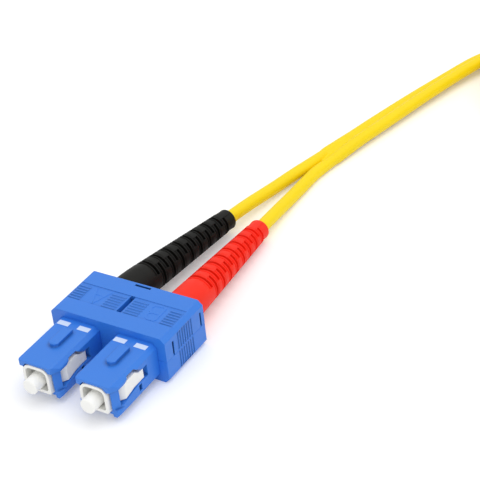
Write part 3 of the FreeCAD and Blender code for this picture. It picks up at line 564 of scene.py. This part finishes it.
def coil_points(sizes):
    """Control points of the coil: in on the bottom layer, up, and out again on the top layer."""
    step = TURN / sizes.turn_points
    # The spline runs inside its control points, so that they lie this much further out
    outwards = 4 / (3 + math.cos(step))
    steps = round(sizes.coil_turns * sizes.turn_points)
    width = 4 * sizes.jacket_radius
    low, high = width / 2, width * 3 / 2
    spread = sizes.coil_outer - sizes.coil_inner
    points = []
    for index in range(1, steps + 1):
        turns = index * sizes.coil_turns / steps
        bearing = sizes.coil_start - TURN * turns
        if turns < sizes.climb_end:
            radius = sizes.coil_outer - spread / sizes.climb_end * turns
        else:
            share = (turns - sizes.climb_end) / (sizes.coil_turns - sizes.climb_end)
            radius = sizes.coil_inner + spread * share
        climb = smooth_share(turns, sizes.climb_start, sizes.climb_end)
        apart = abs(math.remainder(bearing - sizes.strap_angle, TURN))
        lift = sizes.strap_lift * (1 - smooth_share(apart, sizes.strap_reach / 2, sizes.strap_reach))
        points.append((
            sizes.coil_x + radius * outwards * math.cos(bearing),
            sizes.coil_y + radius * outwards * math.sin(bearing),
            low + (high - low) * climb + lift,
        ))
    return points


def smooth_share(amount, start, end):
    """0 before start, 1 after end, and a smooth rise between."""
    share = min(max((amount - start) / (end - start), 0), 1)
    return share * share * (3 - 2 * share)


def lean_at(distance):
    """How far the flat cable leans, in radians, that far along it."""
    for (start, before), (end, after) in zip(ZIP_LEAN, ZIP_LEAN[1:]):
        if distance < end:
            return math.radians(before + (after - before) * smooth_share(distance, start, end))
    return math.radians(ZIP_LEAN[-1][1])


def zip_section(sizes, share, arc_points=11):
    """Outline of two jackets side by side, joined by a web, as (across, up) pairs."""
    radius = sizes.jacket_radius
    opening = math.acos(1 - sizes.web_dip / radius) / 2
    section = []
    for side in (1, -1):
        for index in range(arc_points):
            turn = -math.pi + opening + (TURN - 2 * opening) * index / (arc_points - 1)
            across, up = 1 + share * math.cos(turn), share * math.sin(turn)
            section.append((side * radius * across, side * radius * up))
    return section


def flat_tube(sizes, points):
    """Rings of the flat cable along points, growing out of the legs at both ends and leaning as it goes."""
    rings = []
    distance, whole = 0.0, line_length(points)
    for index, point in enumerate(points):
        before, after = points[max(index - 1, 0)], points[min(index + 1, len(points) - 1)]
        heading = (after - before).normalized()
        if index:
            distance += (point - points[index - 1]).length
        right = heading.cross(Vector((0, 0, 1))).normalized()
        up = right.cross(heading)
        lean = lean_at(distance)
        across = right * math.cos(lean) + up * math.sin(lean)
        over = up * math.cos(lean) - right * math.sin(lean)
        grown = smooth_share(min(distance, whole - distance), 0, sizes.split_length)
        share = sizes.split_share + (1 - sizes.split_share) * grown
        rings.append([point + across * x + over * y for x, y in zip_section(sizes, share)])
    return rings


class PATCH_OT_zipcord(bpy.types.Operator):
    """The flat twin cable from the split to the end of its coil"""

    bl_idname = "patch_cable.zipcord"
    bl_label = "Flat cable"

    def execute(self, context):
        sizes = context.scene.cable_sizes
        points = spline_points("zip_route", ZIP_ROUTE + coil_points(sizes))
        rings = flat_tube(sizes, points)
        skin = closed_ends(*bridged(rings), len(rings[0]))
        piece = add_piece("flat_cable", skin, "cable", "yellow_jacket", ("zipcord", "coil"), sharp=60)
        return {"FINISHED"}


class PATCH_OT_legs(bpy.types.Operator):
    """The single jackets between the boots and the flat cable, at both ends"""

    bl_idname = "patch_cable.legs"
    bl_label = "Single jackets"

    def execute(self, context):
        legs = (
            ("leg_a", LEG_A_ROUTE, -1),
            ("leg_b", LEG_B_ROUTE, -1),
            ("far_leg_a", FAR_LEG_A_ROUTE, 0),
            ("far_leg_b", FAR_LEG_B_ROUTE, 0),
        )
        for node, route, inner in legs:
            points = spline_points(f"{node}_route", route)
            piece = round_leg(f"{node}_jacket", route, node, inner)
        return {"FINISHED"}


# Boots

def boot_axis(sizes, along, turn, roll):
    """Point and section axes of a boot's middle line, that far along the plug."""
    past = along - sizes.bend
    bend = sizes.neck / turn if turn else 0
    here = turn * min(max(past, 0), sizes.neck) / sizes.neck
    straight = max(past - sizes.neck, 0)
    x = bend * (1 - math.cos(here)) + straight * math.sin(here)
    y = along
    if past > 0 and turn:
        y = sizes.bend + bend * math.sin(here) + straight * math.cos(here)
    sideways = Vector((math.cos(here), -math.sin(here), 0))
    rolled = Matrix.Rotation(roll, 3, "Y")
    return rolled @ Vector((x, y, 0)), rolled @ sideways, rolled @ Vector((0, 0, 1))


def boot_directions(sizes):
    """Angles round a boot, closer together at the ends of the slots."""
    middles = [TURN * quarter / 4 for quarter in range(4)]
    edges = [middle + side * sizes.slot_half_angle for middle in middles for side in (1, -1)]
    near = [(edge + shift) % TURN for edge in edges for shift in (-SLOT_END, SLOT_END)]
    even = [TURN * index / BOOT_SIDES for index in range(BOOT_SIDES)]
    clear = [
        turn for turn in even
        if all(abs(math.remainder(turn - edge, TURN)) > 2 * SLOT_END for edge in edges)
    ]
    return sorted(near + clear)


def boot_radius(sizes, past):
    """Outside radius of the taper, with a rounded end."""
    radius = sizes.root_radius + (sizes.end_radius - sizes.root_radius) * past / sizes.taper
    into = past - (sizes.taper - sizes.edge)
    if into > 0:
        radius -= sizes.edge - math.sqrt(max(sizes.edge ** 2 - into ** 2, 0))
    return radius


def slot_stations(sizes):
    """(along the taper, which slots are open, depth there or None at the floor) at every slot edge."""
    half, lip = sizes.slot_width / 2, sizes.slot_lip
    lips = [(half + lip * math.cos(turn), lip * (1 - math.sin(turn))) for turn in LIP_TURNS]
    edges = [*lips, (half - sizes.slot_draft, None)]
    stations = []
    for row in range(sizes.slot_rows):
        for facing, shift in (("top", 0), ("side", sizes.slot_pitch / 2)):
            middle = sizes.slot_first + shift + row * sizes.slot_pitch
            for offset, depth in edges:
                stations.append((middle - offset, facing, depth))
                stations.append((middle + offset, facing, depth))
    return stations


def boot_stations(sizes, slotted):
    """(along, radius, which slots are open, depth there) of every ring, out along a boot and back inside."""
    spigot = [
        (sizes.front, sizes.spigot_radius),
        (sizes.shoulder, sizes.spigot_radius),
        (sizes.shoulder, sizes.shoulder_radius),
        (sizes.bend, sizes.shoulder_radius),
        (sizes.bend, sizes.root_radius - sizes.root_bevel),
    ]
    bore = [
        (sizes.bend + sizes.taper, sizes.bore_radius),
        (sizes.bend + sizes.neck, sizes.bore_radius),
        (sizes.bend, sizes.bore_radius),
        (sizes.bend, sizes.sleeve_radius),
        (sizes.front, sizes.sleeve_radius),
    ]
    neck = [sizes.neck * step / NECK_STEPS for step in range(1, NECK_STEPS + 1)]
    end = [sizes.taper - sizes.edge * share for share in BOOT_END_SHARES]
    taper = [(past, None, 0) for past in (sizes.root_bevel, *neck, *end)]
    if slotted:
        taper += slot_stations(sizes)
    taper.sort(key=lambda station: station[0])
    outside = [(sizes.bend + past, boot_radius(sizes, past), facing, depth) for past, facing, depth in taper]
    return [(*ring, None, 0) for ring in spigot] + outside + [(*ring, None, 0) for ring in bore]


def slot_open(sizes, facing, direction):
    """Whether a slot that faces up and down, or to the sides, is open in that direction."""
    middles = (0, math.pi) if facing == "top" else (math.pi / 2, -math.pi / 2)
    return any(abs(math.remainder(direction - middle, TURN)) < sizes.slot_half_angle for middle in middles)


def boot_skin(sizes, place, turn, roll, slotted):
    """Skin of a boot, from the front of its spigot along its outside and back through its bore."""
    directions = boot_directions(sizes)
    rings = []
    for along, radius, facing, depth in boot_stations(sizes, slotted):
        point, sideways, upright = boot_axis(sizes, along, turn, roll)
        ring = []
        for direction in directions:
            reach = radius
            if facing and slot_open(sizes, facing, direction):
                reach = sizes.slot_floor if depth is None else radius - depth
            bearing = direction - roll
            outwards = sideways * math.sin(bearing) + upright * math.cos(bearing)
            ring.append(place + point + outwards * reach)
        rings.append(ring)
    return bridged(rings, looped=True)


class PATCH_OT_boots(bpy.types.Operator):
    """Slotted soft boots behind the clip, and plain ones at the far end"""

    bl_idname = "patch_cable.boots"
    bl_label = "Boots"

    def execute(self, context):
        sizes = context.scene.cable_boots
        bends = {"a": (sizes.turn_a, sizes.roll_a), "b": (sizes.turn_b, sizes.roll_b)}
        rubbers = {"a": "black_rubber", "b": "red_rubber"}
        for letter in LETTERS:
            near, far = f"boot_{letter}", f"far_boot_{letter}"
            bent = boot_skin(sizes, plug_place("", letter), *bends[letter], slotted=True)
            straight = boot_skin(sizes, plug_place("far_", letter), 0, 0, slotted=False)
            add_piece(f"{near}_slotted", bent, "cable", rubbers[letter], (near,), sharp=35)
            add_piece(f"{far}_plain", straight, "cable", rubbers[letter], (far,), sharp=35)
        return {"FINISHED"}


# Plugs

def cap_profile(sizes):
    """(along, radius) pairs of a dust cap: front, outside and bore."""
    front, edge = -sizes.cap_front, sizes.cap_edge
    rounded = []
    for step in range(ROUNDING_STEPS, -1, -1):
        turn = math.pi / 2 * step / ROUNDING_STEPS
        rounded.append((front + edge * (1 - math.sin(turn)), sizes.cap_radius - edge * (1 - math.cos(turn))))
    return rounded + [
        (sizes.cap_rear - edge / 2, sizes.cap_radius),
        (sizes.cap_rear, sizes.cap_radius - edge / 2),
        (sizes.cap_rear, sizes.cap_bore),
        (-sizes.ferrule_reach - sizes.cap_gap, sizes.cap_bore),
    ]


def ferrule_profile(sizes):
    """(along, radius) pairs of a ferrule with a bevelled tip."""
    return [
        (-sizes.ferrule_reach, sizes.ferrule_radius - sizes.ferrule_chamfer),
        (sizes.ferrule_chamfer - sizes.ferrule_reach, sizes.ferrule_radius),
        (sizes.ferrule_rear, sizes.ferrule_radius),
    ]


class PATCH_OT_plugs(bpy.types.Operator):
    """Round white pieces of the plugs: dust caps at both ends and the near ferrules"""

    bl_idname = "patch_cable.plugs"
    bl_label = "Caps and ferrules"

    def execute(self, context):
        sizes = context.scene.cable_plugs
        for end in ENDS:
            for letter in LETTERS:
                cap = turned(plug_place(end, letter), cap_profile(sizes))
                body, node = f"{end}cap_{letter}", f"{end}dust_cap_{letter}"
                add_piece(f"{body}_round", cap, body, "cap_plastic", (node,))
        for letter in LETTERS:
            pin = turned(plug_place("", letter), ferrule_profile(sizes))
            node = f"ferrule_{letter}"
            add_piece(f"{node}_round", pin, f"ferrule_set_{letter}", "ceramic", (node,))
        return {"FINISHED"}


class PATCH_OT_mouldings(bpy.types.Operator):
    """Finishes of all CAD pieces, with softened edges on the moulded ones"""

    bl_idname = "patch_cable.mouldings"
    bl_label = "Mouldings"

    edge: length("Edge", 0.12, "Rounding of moulded edges")
    edge_steps: whole_number("Edge steps", 2, "Faces across a rounded edge")
    weld_gap: length("Weld gap", 0.001, "Corners that are closer than this are one")
    shell_angle: angle("Shell angle", 25.0, "Least angle of a rounded edge on clips, grips and the strap")
    frame_angle: angle("Frame angle", 35.0, "Least angle of a rounded edge on the inner housings")

    def execute(self, context):
        for name, node in frame["nodes"].items():
            node.data.materials.clear()
            node.data.materials.append(finish(SLOT_OF[name]))
            if "plug_frame" in name:
                self.soften(node, self.frame_angle)
            elif any(word in name for word in ("clip", "grip", "tie")):
                self.soften(node, self.shell_angle)
        return {"FINISHED"}

    def soften(self, node, least):
        """Joins the node's faces and rounds edges over an angle, without a change to its own mesh."""
        custom = node.data.attributes.get("custom_normal")
        if custom:
            node.data.attributes.remove(custom)
        node.data.shade_smooth()
        weld = node.modifiers.new("weld", "WELD")
        weld.merge_threshold = self.weld_gap
        bevel = node.modifiers.new("edges", "BEVEL")
        bevel.width = self.edge
        bevel.segments = self.edge_steps
        bevel.limit_method = "ANGLE"
        bevel.angle_limit = least
        level = node.modifiers.new("level", "WEIGHTED_NORMAL")
        level.weight = 100


def mark_corners(sizes, side):
    """Corners of the painted mark on one side of a grip, from the middle of its front."""
    top = sizes.grip_height / 2
    outline = (
        (sizes.mark_inner, sizes.mark_front),
        (sizes.mark_outer, sizes.mark_front),
        (sizes.mark_outer, sizes.mark_rear),
        (sizes.mark_inner, sizes.mark_rear),
    )
    heights = (top - sizes.mark_thickness, top + sizes.mark_thickness)
    return [Vector((side * x, y, height)) for height in heights for x, y in outline]


class PATCH_OT_marks(bpy.types.Operator):
    """Painted marks on the near grips"""

    bl_idname = "patch_cable.marks"
    bl_label = "Painted marks"

    def execute(self, context):
        sizes = context.scene.cable_plugs
        for letter in LETTERS:
            place = plug_place("", letter)
            points, faces = [], []
            for side in (1, -1):
                faces += [tuple(len(points) + corner for corner in face) for face in BOX_FACES]
                points += [place + corner for corner in mark_corners(sizes, side)]
            add_piece(f"marks_{letter}", (points, faces), "coupling", "paint_white")
        return {"FINISHED"}


def ribbon(line, place, width, height):
    """A flat bar that follows a line of (x, y) points in millimetres, from a place upwards."""
    spots = [Vector((x, y, 0)) * MM for x, y in line]
    looped = spots[0] == spots[-1]
    lift = Vector((0, 0, height))
    rings = []
    for index, spot in enumerate(spots):
        before = spots[index - 1] if index else spots[-2] if looped else None
        after = spots[index + 1] if index + 1 < len(spots) else spots[1] if looped else None
        arrive = (spot - before).normalized() if before else (after - spot).normalized()
        leave = (after - spot).normalized() if after else arrive
        along = (arrive + leave).normalized()
        aside = Vector((-along.y, along.x, 0)) * (width / 2 / along.dot(arrive))
        rings.append([place + spot + shift for shift in (aside, -aside, lift - aside, lift + aside)])
    if looped:
        return bridged(rings[:-1], looped=True)
    return closed_ends(*bridged(rings), len(rings[0]))


class PATCH_OT_letters(bpy.types.Operator):
    """Low raised port letters on the near clip"""

    bl_idname = "patch_cable.letters"
    bl_label = "Port letters"

    front: length("Front", 4.45, "Front of the letters from the clip's front")
    inner_a: length("Letter A", -8.0, "Left side of the letter over the black boot")
    inner_b: length("Letter B", 4.95, "Left side of the letter over the red boot")
    stroke: length("Stroke", 0.5, "Width of a stroke")
    sunk: length("Depth", 0.2, "Foot of the letters under the clip's top")
    relief: length("Relief", 0.1, "Height of the strokes")
    step: length("Step", 0.01, "How much lower a cross stroke is")

    def execute(self, context):
        low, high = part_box("clip_upper")
        sides = {"a": self.inner_a, "b": self.inner_b}
        for letter in LETTERS:
            place = Vector((sides[letter], low.y + self.front, high.z - self.sunk))
            for index, line in enumerate(LETTER_STROKES[letter]):
                shape = ribbon(line, place, self.stroke, self.relief - index * self.step)
                add_piece(f"letter_{letter}_{index}", shape, "coupling", "blue_plastic")
        return {"FINISHED"}


# Stage

def seen_rays(tree):
    """1 for rays that show a surface: from the camera, in a reflection or through clear matter."""
    path = tree.nodes.new("ShaderNodeLightPath")
    total = path.outputs["Is Camera Ray"]
    for kind in ("Is Glossy Ray", "Is Transmission Ray"):
        total = reckon(tree, "MAXIMUM", total, path.outputs[kind])
    return total


def floor_material(studio):
    """Pale floor that looks white past the shadows."""
    material = bpy.data.materials.new("pale_floor")
    material.use_nodes = True
    tree = material.node_tree
    shader = tree.nodes["Principled BSDF"]
    shader.inputs["Base Color"].default_value = (*studio.floor_colour, 1)
    shader.inputs["Roughness"].default_value = studio.floor_roughness
    shader.inputs["Specular IOR Level"].default_value = studio.floor_shine
    shader.inputs["Emission Color"].default_value = (1, 1, 1, 1)
    glow = reckon(tree, "MULTIPLY", seen_rays(tree), studio.floor_glow)
    tree.links.new(glow, shader.inputs["Emission Strength"])
    return material


class PATCH_OT_stage(bpy.types.Operator):
    """Camera, two lamps, white room and pale floor"""

    bl_idname = "patch_cable.stage"
    bl_label = "Studio"

    def execute(self, context):
        scene = context.scene
        studio = scene.cable_studio
        scene.view_settings.view_transform = "Standard"
        self.add_floor(scene, studio)
        self.light_room(scene, studio)
        self.add_camera(scene, studio)
        return {"FINISHED"}

    def add_floor(self, scene, studio):
        half = studio.floor_side / 2
        corners = [(-half, -half, 0), (half, -half, 0), (half, half, 0), (-half, half, 0)]
        mesh = bpy.data.meshes.new("floor")
        mesh.from_pydata(corners, [], [(0, 1, 2, 3)])
        mesh.materials.append(floor_material(studio))
        floor = bpy.data.objects.new("floor", mesh)
        scene.collection.objects.link(floor)

    def light_room(self, scene, studio):
        world = bpy.data.worlds.new("white_room")
        world.use_nodes = True
        tree = world.node_tree
        room = tree.nodes["Background"]
        room.inputs["Color"].default_value = (1, 1, 1, 1)
        strength = tree.nodes.new("ShaderNodeMapRange")
        strength.inputs["To Min"].default_value = studio.world_light
        strength.inputs["To Max"].default_value = 1.0
        tree.links.new(seen_rays(tree), strength.inputs["Value"])
        tree.links.new(strength.outputs["Result"], room.inputs["Strength"])
        scene.world = world
        self.add_lamp(scene, "overhead", studio.key_place, studio.key_power, studio.key_side)
        self.add_lamp(scene, "front", studio.fill_place, studio.fill_power, studio.fill_side)

    def add_lamp(self, scene, name, place, power, side):
        """A square soft lamp that faces the clip."""
        data = bpy.data.lights.new(name, "AREA")
        data.shape = "SQUARE"
        data.size = side
        data.energy = power
        lamp = bpy.data.objects.new(name, data)
        lamp.location = place
        lamp.rotation_euler = (-Vector(place)).to_track_quat("-Z", "Y").to_euler()
        scene.collection.objects.link(lamp)

    def add_camera(self, scene, studio):
        turn, rise, tilt = studio.azimuth, studio.elevation, studio.roll
        back = Vector((math.sin(turn) * math.cos(rise), -math.cos(turn) * math.cos(rise), math.sin(rise)))
        level = Vector((math.cos(turn), math.sin(turn), 0))
        upright = back.cross(level)
        right = level * math.cos(tilt) + upright * math.sin(tilt)
        up = upright * math.cos(tilt) - level * math.sin(tilt)
        data = bpy.data.cameras.new("photo_camera")
        data.sensor_width = SENSOR_WIDTH
        data.lens = studio.focal_pixels * SENSOR_WIDTH / IMAGE_WIDTH
        data.clip_start = MM
        camera = bpy.data.objects.new("photo_camera", data)
        place = back * studio.distance - right * studio.across - up * studio.upwards
        place.y += studio.aim_y
        camera.matrix_world = Matrix.Translation(place) @ Matrix((right, up, back)).transposed().to_4x4()
        scene.collection.objects.link(camera)
        scene.camera = camera


class PATCH_PT_panel(bpy.types.Panel):
    """The pieces and the studio in the order in which they are made"""

    bl_idname = "PATCH_PT_panel"
    bl_label = "Patch cable"
    bl_space_type = "VIEW_3D"
    bl_region_type = "UI"
    bl_category = "Patch cable"

    def draw(self, context):
        for operator in STEPS:
            self.layout.operator(operator.bl_idname)
        for group in GROUPS:
            settings = getattr(context.scene, group)
            for name in settings.__annotations__:
                self.layout.prop(settings, name)


STEPS = (
    PATCH_OT_stage,
    PATCH_OT_mouldings,
    PATCH_OT_boots,
    PATCH_OT_plugs,
    PATCH_OT_marks,
    PATCH_OT_letters,
    PATCH_OT_legs,
    PATCH_OT_zipcord,
)
GROUPS = {
    "cable_sizes": CableSizes,
    "cable_boots": BootSizes,
    "cable_plugs": PlugSizes,
    "cable_finishes": Finishes,
    "cable_studio": Studio,
}


def register():
    for group in (*GROUPS.values(), *STEPS, PATCH_PT_panel):
        bpy.utils.register_class(group)
    for name, group in GROUPS.items():
        setattr(bpy.types.Scene, name, PointerProperty(type=group))


def unregister():
    for name in GROUPS:
        delattr(bpy.types.Scene, name)
    for group in reversed((*GROUPS.values(), *STEPS, PATCH_PT_panel)):
        bpy.utils.unregister_class(group)


def main():
    register()
    for operator in STEPS:
        family, name = operator.bl_idname.split(".")
        getattr(getattr(bpy.ops, family), name)()


if __name__ == "__main__":
    main()
